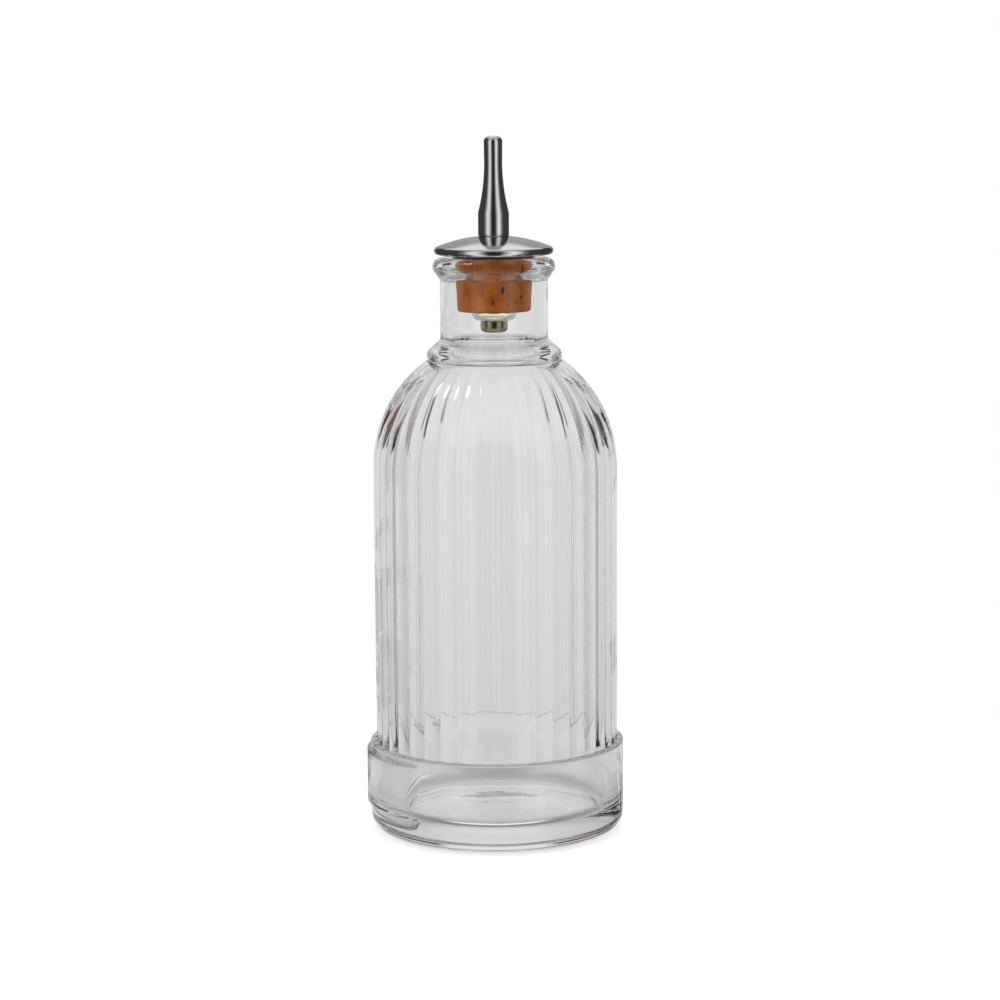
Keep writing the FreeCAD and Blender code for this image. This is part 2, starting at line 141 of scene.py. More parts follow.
class StopperSizes(bpy.types.PropertyGroup):
    """Sizes of the cork dash stopper."""

    screw_passage: length("Screw passage", 2.65, "Radius of the screw's hole through the cork and the disc")
    cork_taper: number("Cork taper", 0.048, "Loss of radius for each unit of height down the cork", min=0.0)
    cork_edge: length("Cork edge", 0.6, "Worn lower edge of the cork")
    pit_depth: length("Pit depth", 0.28, "Depth of the pores in the cork")
    grain_depth: length("Grain depth", 0.05, "Height of the cork's fine grain")
    washer_round: length("Washer round", 0.2, "Rounding of the rubber washer's edges")
    dome_radius: length("Dome radius", 37.0, "Radius of the domed disc's top")
    rim_round: length("Rim round", 1.0, "Rounding of the disc's rim")
    disc_recess: length("Disc recess", 0.3, "Depth of the recess that centres the washer")
    recess_gap: length("Recess gap", 0.15, "Gap between the washer and the recess")
    foot_chamfer: length("Spout foot chamfer", 0.2, "Chamfer where the spout stands on the disc")
    foot_length: length("Spout foot", 5.6, "Straight foot of the spout below its taper")
    knee_round: length("Spout knee", 3.0, "Rounding between the foot and the taper")
    waist_diameter: length("Spout waist", 4.34, "Narrowest place of the spout")
    waist_height: length("Waist height", 17.75, "Height of the waist above the spout's foot")
    tip_diameter: length("Spout tip", 4.5, "Width of the spout's tip")
    tip_round: length("Tip round", 1.35, "Rounding of the spout's tip")
    outlet_diameter: length("Outlet", 1.7, "Narrow end of the spout's passage")
    outlet_length: length("Outlet length", 5.0, "Length of the passage's narrow end")
    passage_diameter: length("Passage", 2.6, "Passage for the liquid in the spout")
    socket_diameter: length("Socket", 5.3, "Socket in the spout's foot, clear of the screw's thread")
    socket_depth: length("Socket depth", 7.4, "Depth of the socket")
    cup_thickness: length("Cup thickness", 0.6, "Sheet that the cup washer is pressed from")
    cup_seat: length("Cup seat", 0.65, "Flat for the screw's head round the cup washer's hole")


class Finishes(bpy.types.PropertyGroup):
    """Colours of the finishes."""

    glass: colour("Glass", (0.985, 0.985, 0.982), "Tint of the clear glass")
    cork_light: colour("Cork, light", (0.46, 0.132, 0.016), "Sound cork")
    cork_dark: colour("Cork, dark", (0.30, 0.078, 0.009), "Darker grain of the cork")
    cork_pit: colour("Cork, pores", (0.035, 0.010, 0.003), "Bottom of the pores")
    rubber: colour("Rubber", (0.020, 0.019, 0.018), "Black rubber washer")
    chrome: colour("Chrome", (0.78, 0.78, 0.79), "Polished plating of the disc and the spout")
    cup_steel: colour("Cup steel", (0.94, 0.90, 0.78), "Bright pressed steel of the cup washer")
    screw_steel: colour("Screw steel", (0.34, 0.30, 0.18), "Dull turned steel of the screw")


class StageSettings(bpy.types.PropertyGroup):
    """Floor and camera."""

    camera_distance: length("Camera distance", 673.3, "From the bottle's axis to the camera")
    camera_height: length("Camera height", 178.0, "Height of the camera above the floor")
    camera_tilt: angle("Camera tilt", 8.225, "How far the camera looks down")
    camera_roll: angle("Camera roll", -0.376, "How far the camera leans")
    camera_pan: angle("Camera pan", -0.095, "How far the camera looks aside")
    lens: number("Lens", 100.7, "Focal length on a 36 mm sensor", min=1.0, unit="CAMERA")
    floor_radius: length("Floor radius", 600.0, "Radius of the studio floor")


# Outlines and turned shapes

class Outline:
    """A line in the half section, as points of radius and height, drawn with rounded corners."""

    def __init__(self, radius, height, spacing):
        self.spacing = spacing
        self.rows = [Vector((radius, height))]

    def line_to(self, radius, height, steps=None):
        start = self.rows[-1]
        end = Vector((radius, height))
        run = (end - start).length
        if run < ON_AXIS:
            return
        count = steps or max(1, math.ceil(run / self.spacing))
        self.rows += [start.lerp(end, step / count) for step in range(1, count + 1)]

    def lines_to(self, *points):
        for point in points:
            self.line_to(*point)

    def arc_round(self, centre_radius, centre_height, sweep, steps):
        """An arc about a centre, through an angle that is positive anticlockwise in the half section."""
        centre = Vector((centre_radius, centre_height))
        arm = self.rows[-1] - centre
        for step in range(1, steps + 1):
            self.rows.append(centre + Matrix.Rotation(sweep * step / steps, 2) @ arm)

    def round_to(self, corner, rounding, onward, steps):
        """A line towards a corner, then the arc that rounds it off in the direction of the point onward."""
        corner = Vector(corner)
        back = (self.rows[-1] - corner).normalized()
        ahead = (Vector(onward) - corner).normalized()
        half_angle = back.angle(ahead) / 2
        run_in = rounding / math.tan(half_angle)
        centre = corner + (back + ahead).normalized() * (rounding / math.sin(half_angle))
        self.line_to(*(corner + back * run_in))
        side = back.x * ahead.y - back.y * ahead.x
        sweep = math.copysign(math.pi - 2 * half_angle, -side)
        self.arc_round(*centre, sweep, steps)

    def through(self, *corners):
        """Corners with their radius, height, rounding and steps. The last one only gives a direction."""
        for corner, onward in zip(corners, corners[1:]):
            self.round_to(corner[:2], corner[2], onward[:2], corner[3])


def on_circle(centre_radius, centre_height, radius, turn):
    """Point of a circle in the half section, by its angle above the outward direction."""
    return centre_radius + radius * math.cos(turn), centre_height + radius * math.sin(turn)


def even_angles(count):
    return [FRONT + FULL_TURN * step / count for step in range(count)]


def turned_mesh(name, rows, angles, closed):
    """The rows turned about the bottle's axis, facing outwards, and its rings of points.

    A row on the axis becomes one point.
    """
    points = []
    rings = []
    for radius, height in rows:
        first = len(points)
        if radius < ON_AXIS:
            points.append((0.0, 0.0, height))
            rings.append([first] * len(angles))
        else:
            points += [(radius * math.cos(turn), radius * math.sin(turn), height) for turn in angles]
            rings.append(list(range(first, first + len(angles))))
    pairs = list(zip(rings, rings[1:]))
    if closed:
        pairs.append((rings[-1], rings[0]))
    faces = []
    for lower, upper in pairs:
        for here in range(len(angles)):
            there = (here + 1) % len(angles)
            corners = (lower[here], lower[there], upper[there], upper[here])
            faces.append(tuple(dict.fromkeys(corners)))
    mesh = bpy.data.meshes.new(name)
    mesh.from_pydata(points, [], faces)
    work = bmesh.new()
    work.from_mesh(mesh)
    bmesh.ops.recalc_face_normals(work, faces=work.faces)
    work.to_mesh(mesh)
    work.free()
    mesh.shade_smooth()
    return mesh, rings


def by_point(rings, values):
    """One number for each point of a turned mesh, from one for each row."""
    return [value for ring, value in zip(rings, values) for index in dict.fromkeys(ring)]


def store(mesh, name, numbers):
    """Keeps one number for each point of a mesh as a named attribute."""
    attribute = mesh.attributes.new(name, "FLOAT", "POINT")
    attribute.data.foreach_set("value", numbers)


def new_object(name, data):
    made = bpy.data.objects.new(name, data)
    bpy.context.scene.collection.objects.link(made)
    return made


def turned_piece(name, outline, columns):
    """A piece turned from an outline that closes on itself."""
    mesh = turned_mesh(name, outline.rows, even_angles(columns), closed=True)[0]
    return new_object(name, mesh)


def dress(piece, node_name, body, material):
    """Puts a finished piece in the place of its frame node."""
    if not piece.data.materials:
        piece.data.materials.append(material)
    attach(piece, body)
    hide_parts(node_name)


# Node trees

SOCKET_KINDS = {int: "NodeSocketInt", float: "NodeSocketFloat", bpy.types.Material: "NodeSocketMaterial"}


def fill(tree, made, inputs):
    """Sets inputs of a node to values, or joins them to other nodes."""
    for key, value in inputs.items():
        if isinstance(value, bpy.types.NodeSocket):
            tree.links.new(value, made.inputs[key])
        else:
            made.inputs[key].default_value = value


def node(tree, kind, inputs=None, **settings):
    """A node with its properties set and its inputs filled."""
    made = tree.nodes.new(kind)
    for key, value in settings.items():
        setattr(made, key, value)
    fill(tree, made, inputs or {})
    return made


def maths(tree, operation, *values):
    return node(tree, "ShaderNodeMath", dict(enumerate(values)), operation=operation).outputs[0]


def times(tree, first, second):
    return maths(tree, "MULTIPLY", first, second)


def vector_maths(tree, operation, inputs, result="Vector"):
    return node(tree, "ShaderNodeVectorMath", inputs, operation=operation).outputs[result]


def split(tree, vector):
    """The three parts of a vector."""
    return node(tree, "ShaderNodeSeparateXYZ", {"Vector": vector}).outputs


def object_place(tree):
    return node(tree, "ShaderNodeTexCoord").outputs["Object"]


def noise(tree, place, scale, detail, roughness=0.5, distortion=0.0, dimensions="3D"):
    inputs = {"Vector": place, "Scale": scale, "Detail": detail}
    inputs.update(Roughness=roughness, Distortion=distortion)
    return node(tree, "ShaderNodeTexNoise", inputs, noise_dimensions=dimensions).outputs["Fac"]


def smooth_step(tree, value, low, high, at_low=0.0, at_high=1.0):
    """A number that goes smoothly from one level to another as the value crosses a span."""
    inputs = {"Value": value, "From Min": low, "From Max": high, "To Min": at_low, "To Max": at_high}
    return node(tree, "ShaderNodeMapRange", inputs, interpolation_type="SMOOTHSTEP").outputs["Result"]


def between(tree, value, rise_from, rise_to, fall_from, fall_to):
    """A mask that is 1 between a soft rise and a soft fall."""
    risen = smooth_step(tree, value, rise_from, rise_to)
    return times(tree, risen, smooth_step(tree, value, fall_from, fall_to, 1.0, 0.0))


def mixed(tree, factor, first, second):
    """A colour between two colours, which are inputs 6 and 7 and output 2 of the node."""
    return node(tree, "ShaderNodeMix", {0: factor, 6: first, 7: second}, data_type="RGBA").outputs[2]


def solid(red_green_blue, share=1.0):
    """An opaque colour, as it is or as a share of itself."""
    return (*(share * level for level in red_green_blue), 1.0)


def grey(level):
    return solid(WHITE, level)


def ramp(tree, factor, stops):
    """A run of grey levels, from a list of places and levels."""
    made = node(tree, "ShaderNodeValToRGB", {"Fac": factor})
    elements = made.color_ramp.elements
    while len(elements) < len(stops):
        elements.new(1.0)
    for element, (place, level) in zip(elements, stops):
        element.position = place
        element.color = grey(level)
    return made.outputs["Color"]


def geometry_tree(name, values):
    """A geometry tree with an input for each named value, and its group input and output nodes."""
    tree = bpy.data.node_groups.new(name, "GeometryNodeTree")
    tree.interface.new_socket("Geometry", in_out="INPUT", socket_type="NodeSocketGeometry")
    for label, value in values.items():
        tree.interface.new_socket(label, in_out="INPUT", socket_type=SOCKET_KINDS[type(value)])
    tree.interface.new_socket("Geometry", in_out="OUTPUT", socket_type="NodeSocketGeometry")
    return tree, tree.nodes.new("NodeGroupInput"), tree.nodes.new("NodeGroupOutput")


def close_tree(tree, geometry, material, last):
    """Ends a geometry tree with plain geometry that has its material."""
    real = node(tree, "GeometryNodeRealizeInstances", {"Geometry": geometry})
    finished = node(tree, "GeometryNodeSetMaterial", {"Geometry": real.outputs[0], "Material": material})
    tree.links.new(finished.outputs[0], last.inputs[0])


def named_value(tree, name):
    return node(tree, "GeometryNodeInputNamedAttribute", {"Name": name}, data_type="FLOAT").outputs[0]


def shaped_by(piece, tree, values):
    """Runs a geometry tree on a piece with its named values, and keeps the result as a plain mesh."""
    modifier = piece.modifiers.new(tree.name, "NODES")
    modifier.node_group = tree
    for item in tree.interface.items_tree:
        if item.in_out == "INPUT" and item.name in values:
            modifier[item.identifier] = values[item.name]
    graph = bpy.context.evaluated_depsgraph_get()
    source = piece.evaluated_get(graph)
    mesh = bpy.data.meshes.new_from_object(source, preserve_all_data_layers=True, depsgraph=graph)
    mesh.name = piece.data.name
    piece.modifiers.clear()
    piece.data = mesh


# Shared effects of the finishes

SMUDGE_EDGE = (0.48, 0.72)
SCRATCH_EDGE = (0.66, 0.74)
SCRATCH_LEAN = (0.5, 0.9, 0.3)
SCRATCH_STRETCH = (1.0, 1.0, 0.03)


def shader_group(name, inputs, outputs):
    """A shader group that takes and gives numbers, with what it is given and its last node."""
    tree = bpy.data.node_groups.new(name, "ShaderNodeTree")
    for label, value in inputs.items():
        socket = tree.interface.new_socket(label, in_out="INPUT", socket_type="NodeSocketFloat")
        socket.default_value = value
    for label in outputs:
        tree.interface.new_socket(label, in_out="OUTPUT", socket_type="NodeSocketFloat")
    return tree, tree.nodes.new("NodeGroupInput").outputs, tree.nodes.new("NodeGroupOutput")


def handling_marks():
    """Shader group: soft smudges and fine straight scratches, as two masks."""
    name = "Handling marks"
    if name in bpy.data.node_groups:
        return bpy.data.node_groups[name]
    scales = {"Smudge scale": 90.0, "Scratch scale": 500.0}
    tree, given, last = shader_group(name, scales, ("Smudges", "Scratches"))
    place = object_place(tree)
    cloud = noise(tree, place, given["Smudge scale"], detail=4.0, roughness=0.6, distortion=0.8)
    tree.links.new(smooth_step(tree, cloud, *SMUDGE_EDGE), last.inputs["Smudges"])
    turned = {"Vector": place, "Rotation": SCRATCH_LEAN, "Scale": SCRATCH_STRETCH}
    along = node(tree, "ShaderNodeMapping", turned).outputs[0]
    streak = noise(tree, along, given["Scratch scale"], detail=2.0)
    tree.links.new(smooth_step(tree, streak, *SCRATCH_EDGE), last.inputs["Scratches"])
    return tree


def turning_lines():
    """Shader group: fine rings round the axis, as a lathe and a polishing wheel leave them."""
    name = "Turning lines"
    if name in bpy.data.node_groups:
        return bpy.data.node_groups[name]
    tree, given, last = shader_group(name, {"Scale": 4000.0}, ("Lines",))
    parts = split(tree, object_place(tree))
    squares = [maths(tree, "POWER", part, 2.0) for part in parts[:2]]
    radius = maths(tree, "SQRT", maths(tree, "ADD", *squares))
    flat = node(tree, "ShaderNodeCombineXYZ", {"X": radius, "Y": parts[2]}).outputs[0]
    rings = noise(tree, flat, given["Scale"], detail=3.0, roughness=0.7, dimensions="2D")
    tree.links.new(rings, last.inputs["Lines"])
    return tree


def new_material(name):
    """A material with its node tree and its Principled shader."""
    material = bpy.data.materials.new(name)
    material.use_nodes = True
    tree = material.node_tree
    return material, tree, tree.nodes["Principled BSDF"]


def placed_group(tree, group, **inputs):
    """A shader group placed in a material with its own values."""
    made = node(tree, "ShaderNodeGroup", node_tree=group)
    for label, value in inputs.items():
        made.inputs[label.replace("_", " ")].default_value = value
    return made.outputs


def link_bump(tree, shader, height, distance):
    bump = node(tree, "ShaderNodeBump", {"Height": height, "Distance": distance})
    tree.links.new(bump.outputs[0], shader.inputs["Normal"])


# Finishes

# Cork: stretch of the grain, its share of the tone, and the spans that become tones
GRAIN_STRETCH = (1.0, 1.0, 0.45)
GRAIN_SHARE = 0.6
TONE_SPAN = (0.38, 0.62)
PIT_SPAN = (0.1, 0.8)
GRAIN_SPAN = (0.3, 0.7)
# Metal: how much smudges dull it next to scratches, and depth of scratches next to the lines
SMUDGE_WEAR = 0.6
SCRATCH_DEPTH = 0.5


def clear_glass(tones):
    """Clear pressed glass: hardly any tint, a faint ripple and a few smudges."""
    material, tree, shader = new_material("clear_glass")
    smudges = placed_group(tree, handling_marks(), Smudge_scale=60.0, Scratch_scale=300.0)["Smudges"]
    fill(tree, shader, {
        "Transmission Weight": 1.0,
        "IOR": 1.5,
        "Base Color": mixed(tree, smudges, solid(tones.glass), solid(tones.glass, share=0.985)),
        "Roughness": smooth_step(tree, smudges, 0.0, 1.0, at_high=0.018),
    })
    link_bump(tree, shader, noise(tree, object_place(tree), scale=130.0, detail=1.0), distance=0.08 * MM)
    return material


def natural_cork(tones):
    """Natural cork: warm brown with streaky grain, dark pores and a dry surface."""
    material, tree, shader = new_material("cork")
    place = object_place(tree)
    along = node(tree, "ShaderNodeMapping", {"Vector": place, "Scale": GRAIN_STRETCH}).outputs[0]
    grain = noise(tree, along, scale=420.0, detail=6.0, roughness=0.62)
    patches = noise(tree, place, scale=150.0, detail=3.0)
    tone = maths(tree, "ADD", times(tree, grain, GRAIN_SHARE), times(tree, patches, 1 - GRAIN_SHARE))
    sound = smooth_step(tree, tone, *TONE_SPAN)
    base = mixed(tree, sound, solid(tones.cork_dark), solid(tones.cork_light))
    pit = node(tree, "ShaderNodeAttribute", attribute_name="pit").outputs["Fac"]
    fill(tree, shader, {
        "Specular IOR Level": 0.15,
        "Base Color": mixed(tree, smooth_step(tree, pit, *PIT_SPAN), base, solid(tones.cork_pit)),
        "Roughness": smooth_step(tree, grain, *GRAIN_SPAN, at_low=0.92, at_high=0.72),
    })
    link_bump(tree, shader, noise(tree, place, scale=1600.0, detail=4.0), distance=0.12 * MM)
    return material


def black_rubber(tones):
    """Matt black rubber with a faint bloom."""
    material, tree, shader = new_material("black_rubber")
    smudges = placed_group(tree, handling_marks(), Smudge_scale=220.0, Scratch_scale=900.0)["Smudges"]
    fill(tree, shader, {
        "Base Color": mixed(tree, smudges, solid(tones.rubber), solid(tones.rubber, share=2.0)),
        "Roughness": smooth_step(tree, smudges, 0.0, 1.0, at_low=0.55, at_high=0.75),
    })
    link_bump(tree, shader, noise(tree, object_place(tree), scale=2500.0, detail=2.0), distance=0.03 * MM)
    return material


def metal(name, tone, sharp, dull, line_height):
    """A turned and polished metal with fine rings, smudges and a few scratches."""
    material, tree, shader = new_material(name)
    marks = placed_group(tree, handling_marks(), Smudge_scale=140.0, Scratch_scale=900.0)
    lines = placed_group(tree, turning_lines(), Scale=5000.0)
    wear = maths(tree, "MAXIMUM", times(tree, marks["Smudges"], SMUDGE_WEAR), marks["Scratches"])
    fill(tree, shader, {
        "Metallic": 1.0,
        "Base Color": mixed(tree, marks["Smudges"], solid(tone), solid(tone, share=0.93)),
        "Roughness": smooth_step(tree, wear, 0.0, 1.0, at_low=sharp, at_high=dull),
    })
    height = maths(tree, "SUBTRACT", lines["Lines"], times(tree, marks["Scratches"], SCRATCH_DEPTH))
    link_bump(tree, shader, height, line_height)
    return material


def polished_chrome(tones):
    name = "polished_chrome"
    made = bpy.data.materials.get(name)
    return made or metal(name, tones.chrome, sharp=0.045, dull=0.11, line_height=0.0012 * MM)


# Glass bottle

# Places of the columns across one reed, close together in the valleys between reeds
REED_PLACES = (0.0, 0.045, 0.14, 0.26, 0.38, 0.5, 0.62, 0.74, 0.86, 0.955)
# Spacing of the rows on straight runs, and their number on the long curves
BAND_SPACING = 1.6 * MM
BODY_SPACING = 2.2 * MM
NECK_SPACING = 1.2 * MM
HOLLOW_SPACING = 3.0 * MM
PUSH_UP_ROWS = 24
SHOULDER_ROWS = 36
INSIDE_SHOULDER_ROWS = 26
NECK_OPENING_ROWS = 12
# Rows in the rounding of the panel's edges, from the edge inwards
PANEL_EDGE_ROWS = (-0.08 * MM, 0.0, 0.12 * MM, 0.28 * MM)
LEDGE_RISE = 0.25 * MM
CREASE_RISE = 0.15 * MM
CREASE_ROUND = 0.3 * MM


def reed_columns(sizes):
    """Directions of the bottle's columns."""
    step = FULL_TURN / sizes.reed_count
    return [FRONT + step * (reed + place) for reed in range(sizes.reed_count) for place in REED_PLACES]


def eased(share):
    """A share from 0 to 1 with a smooth start and end."""
    return share * share * (3 - 2 * share)


def panel_heights(sizes):
    low = sizes.foot_round + sizes.panel_above_foot
    return low, low + sizes.panel_height


def glass_outline(sizes):
    """The bottle's half section: from the middle of its underside, round the lip, to its inside floor's.

    Returns the rows, how much of the reeds each one carries, and whether it lies inside the bottle.
    """
    band = GLASS_BOX[1].x
    lip_top = GLASS_BOX[1].z
    body = band - sizes.band_ledge
    cavity = body - sizes.body_wall
    mouth = sizes.mouth_diameter / 2
    bore = mouth + sizes.mouth_ease
    neck = bore + sizes.neck_wall
    ring = neck + sizes.ring_overhang
    lip = neck + sizes.lip_overhang
    shoulder_foot = sizes.band_height + sizes.body_straight
    shoulder_centre = body - sizes.shoulder_radius
    lip_foot = lip_top - sizes.lip_height
    neck_foot = lip_foot - sizes.neck_length
    grip_foot = lip_top - sizes.mouth_grip
    step_foot = grip_foot - sizes.mouth_step

    # Underside and base band
    push_edge = band - sizes.foot_round - sizes.bearing_width
    outline = Outline(0.0, sizes.push_up_depth, BAND_SPACING)
    for step in range(1, PUSH_UP_ROWS + 1):
        along = step / PUSH_UP_ROWS
        outline.line_to(push_edge * along, sizes.push_up_depth * (1 + math.cos(math.pi * along)) / 2, 1)
    outline.round_to((band, 0.0), sizes.foot_round, (band, sizes.band_height), 10)
    panel_low, panel_high = panel_heights(sizes)
    edge_rows = (*PANEL_EDGE_ROWS, sizes.panel_round)
    for place in edge_rows:
        outline.line_to(band, panel_low + place, 1)
    outline.line_to(band, panel_high - sizes.panel_round)
    for place in reversed(edge_rows):
        outline.line_to(band, panel_high - place, 1)
    outline.round_to((band, sizes.band_height), sizes.band_top_round, (0.0, sizes.band_height), 8)
    plain_rows = len(outline.rows)
    outline.line_to(body, sizes.band_height, 1)
    outline.line_to(body, sizes.band_height + LEDGE_RISE, 1)
    outline.spacing = BODY_SPACING
    outline.line_to(body, shoulder_foot)

    # Shoulder up to the crease under the ring
    crease = ring - sizes.ring_crease
    crease_angle = math.acos((crease - shoulder_centre) / sizes.shoulder_radius)
    outline.arc_round(shoulder_centre, shoulder_foot, crease_angle, SHOULDER_ROWS)
    reeded_rows = len(outline.rows)
    ring_low = outline.rows[-1].y

    # Ring, neck, rolled lip and mouth
    inside_foot = shoulder_foot - sizes.inside_drop
    turn_reach = sizes.shoulder_radius - sizes.body_wall + sizes.neck_inside_round
    turn_angle = math.acos((bore + sizes.neck_inside_round - shoulder_centre) / turn_reach)
    turn_centre = on_circle(shoulder_centre, inside_foot, turn_reach, turn_angle)
    outline.spacing = NECK_SPACING
    outline.through(
        (ring, ring_low + CREASE_RISE, CREASE_ROUND, 4),
        (ring, neck_foot - sizes.ring_slope, sizes.ring_round, 8),
        (neck, neck_foot, sizes.ring_fillet, 10),
        (neck, lip_foot, sizes.neck_fillet, 5),
        (lip, lip_foot + sizes.lip_slope, sizes.lip_under_round, 8),
        (lip, lip_top, sizes.lip_round, 10),
        (mouth, lip_top, sizes.mouth_round, 8),
        (mouth, grip_foot, sizes.step_round, 5),
        (bore, step_foot, sizes.step_round, 5),
        (bore, turn_centre[1]),
    )
    neck_rows = len(outline.rows)

    # Neck inside and hollow
    outline.line_to(bore, turn_centre[1])
    outline.arc_round(*turn_centre, turn_angle, NECK_OPENING_ROWS)
    outline.arc_round(shoulder_centre, inside_foot, -turn_angle, INSIDE_SHOULDER_ROWS)
    outline.spacing = HOLLOW_SPACING
    corner_rise = sizes.floor_thickness + sizes.inside_corner
    outline.line_to(cavity, corner_rise)
    outline.arc_round(cavity - sizes.inside_corner, corner_rise, -math.pi / 2, 10)
    outline.line_to(0.0, sizes.floor_thickness, 10)

    reeds = []
    inside = []
    for index, row in enumerate(outline.rows):
        below_ring = (Vector((crease, ring_low)) - row).length
        share = min(1.0, max(0.0, below_ring - sizes.reed_gap) / sizes.reed_fade)
        reeds.append(eased(share) if plain_rows <= index < reeded_rows else 0.0)
        inside.append(1.0 if index > neck_rows + NECK_OPENING_ROWS else 0.0)
    return outline.rows, reeds, inside


def raise_panel(mesh, sizes):
    """Lifts the bare panel out of the band's left side, with rounded edges and ends that run out."""
    band = GLASS_BOX[1].x
    low, high = panel_heights(sizes)
    half_length = band * sizes.panel_angle / 2
    touch = 1e-6
    for vertex in mesh.vertices:
        radius = vertex.co.xy.length
        if abs(radius - band) > touch:
            continue
        from_middle = math.atan2(vertex.co.y, -vertex.co.x)
        depth = min(vertex.co.z - low, high - vertex.co.z)
        from_end = half_length - band * abs(from_middle)
        if depth < -touch or from_end <= 0.0:
            continue
        depth = min(max(depth, 0.0), sizes.panel_round)
        bend = math.sqrt(max(0.0, sizes.panel_round ** 2 - (sizes.panel_round - depth) ** 2))
        lift = (sizes.panel_proud - sizes.panel_round + bend) * eased(min(1.0, from_end / sizes.panel_end))
        vertex.co.xy *= (radius + lift) / radius


def reeds_tree(values):
    """Geometry tree: presses convex reeds and the blown ripple into the turned bottle."""
    tree, first, last = geometry_tree("Pressed reeds", values)
    place = node(tree, "GeometryNodeInputPosition").outputs[0]
    parts = split(tree, place)
    turn = maths(tree, "DIVIDE", maths(tree, "ARCTAN2", parts[1], parts[0]), FULL_TURN)
    from_front = maths(tree, "ADD", turn, -FRONT / FULL_TURN)
    across = maths(tree, "FRACT", times(tree, from_front, first.outputs["Reeds"]))
    from_crest = maths(tree, "SUBTRACT", times(tree, across, 2.0), 1.0)
    flat = vector_maths(tree, "MULTIPLY", {0: place, 1: (1.0, 1.0, 0.0)})
    radius = vector_maths(tree, "LENGTH", {0: flat}, "Value")
    outward = vector_maths(tree, "NORMALIZE", {0: flat})
    narrowing = maths(tree, "DIVIDE", radius, first.outputs["Body radius"])
    weight = times(tree, named_value(tree, "reed"), narrowing)
    valley = times(tree, maths(tree, "POWER", from_crest, 2.0), weight)
    pressed = times(tree, valley, first.outputs["Depth"])
    cloud = noise(tree, place, scale=55.0, detail=1.5, roughness=0.4)
    unevenness = times(tree, maths(tree, "SUBTRACT", cloud, 0.5), first.outputs["Ripple"])
    blown = times(tree, unevenness, times(tree, named_value(tree, "inside"), 2.0))
    moved = maths(tree, "SUBTRACT", blown, pressed)
    offset = vector_maths(tree, "SCALE", {0: outward, "Scale": moved})
    shifted = node(tree, "GeometryNodeSetPosition", {"Geometry": first.outputs[0], "Offset": offset})
    close_tree(tree, shifted.outputs[0], first.outputs["Material"], last)
    return tree


class BITTERS_OT_glass(bpy.types.Operator):
    """Builds the reeded glass bottle as one closed shell"""

    bl_idname = "bitters.glass"
    bl_label = "Glass bottle"

    def execute(self, context):
        sizes = context.scene.bitters_glass
        rows, reeds, inside = glass_outline(sizes)
        mesh, rings = turned_mesh("reeded_glass", rows, reed_columns(sizes), closed=False)
        store(mesh, "reed", by_point(rings, reeds))
        store(mesh, "inside", by_point(rings, inside))
        raise_panel(mesh, sizes)
        bottle = new_object("reeded_glass", mesh)
        material = clear_glass(context.scene.bitters_finishes)
        values = {
            "Reeds": sizes.reed_count,
            "Depth": sizes.reed_depth,
            "Body radius": GLASS_BOX[1].x - sizes.band_ledge,
            "Ripple": sizes.ripple,
            "Material": material,
        }
        shaped_by(bottle, reeds_tree(values), values)
        bottle.data.shade_smooth()
        bottle.visible_shadow = False
        dress(bottle, "glass_bottle", "bottle", material)
        return {"FINISHED"}


# Cork stopper

# Size of the scattered pores as a share of their cells, and which cells have one
PORE_EDGE = (0.16, 0.3)
PORE_CHOICE = (0.8, 0.95)
PORE_STRETCH = (1.0, 1.0, 0.6)
PORE_SHARE = 0.7
# The larger pores: degrees from the front, then height above the foot, half width and half height in mm
LARGE_PORES = (
    (12.5, 5.4, 0.55, 1.2),
    (42.0, 3.7, 0.45, 0.5),
    (20.5, 1.8, 0.35, 0.3),
    (40.0, 10.9, 0.8, 0.7),
    (150.0, 6.0, 0.5, 1.1),
    (-120.0, 8.0, 0.6, 0.6),
    (95.0, 3.5, 0.4, 0.9),
)
# Height of the last row in the cork's bore, which closes on the first
LAST_BORE_ROW = 0.5 * MM
# Knee of the spout, as a share of the taper's arc
KNEE_SHARE = 0.15


def cork_tree(values):
    """Geometry tree: fine grain and scattered pores in the cork, with the pores kept as an attribute."""
    tree, first, last = geometry_tree("Cork pores", values)
    place = node(tree, "GeometryNodeInputPosition").outputs[0]
    stretched = vector_maths(tree, "MULTIPLY", {0: place, 1: PORE_STRETCH})
    cells = node(tree, "ShaderNodeTexVoronoi", {"Vector": stretched, "Scale": 330.0}).outputs
    near = smooth_step(tree, cells["Distance"], *PORE_EDGE, 1.0, 0.0)
    chosen = smooth_step(tree, split(tree, cells["Color"])[0], *PORE_CHOICE)
    pores = times(tree, near, chosen)
    pit = maths(tree, "MAXIMUM", times(tree, pores, PORE_SHARE), named_value(tree, "pit"))
    grain = noise(tree, place, scale=900.0, detail=3.0)
    pit_drop = times(tree, pit, first.outputs["Pit depth"])
    drop = maths(tree, "ADD", pit_drop, times(tree, grain, first.outputs["Grain depth"]))
    normal = node(tree, "GeometryNodeInputNormal").outputs[0]
    inward = vector_maths(tree, "SCALE", {0: normal, "Scale": times(tree, drop, -1.0)})
    kept = node(
        tree, "GeometryNodeStoreNamedAttribute", {"Geometry": first.outputs[0], "Name": "pit", "Value": pit},
        data_type="FLOAT", domain="POINT",
    )
    moved = node(tree, "GeometryNodeSetPosition", {"Geometry": kept.outputs[0], "Offset": inward})
    close_tree(tree, moved.outputs[0], first.outputs["Material"], last)
    return tree


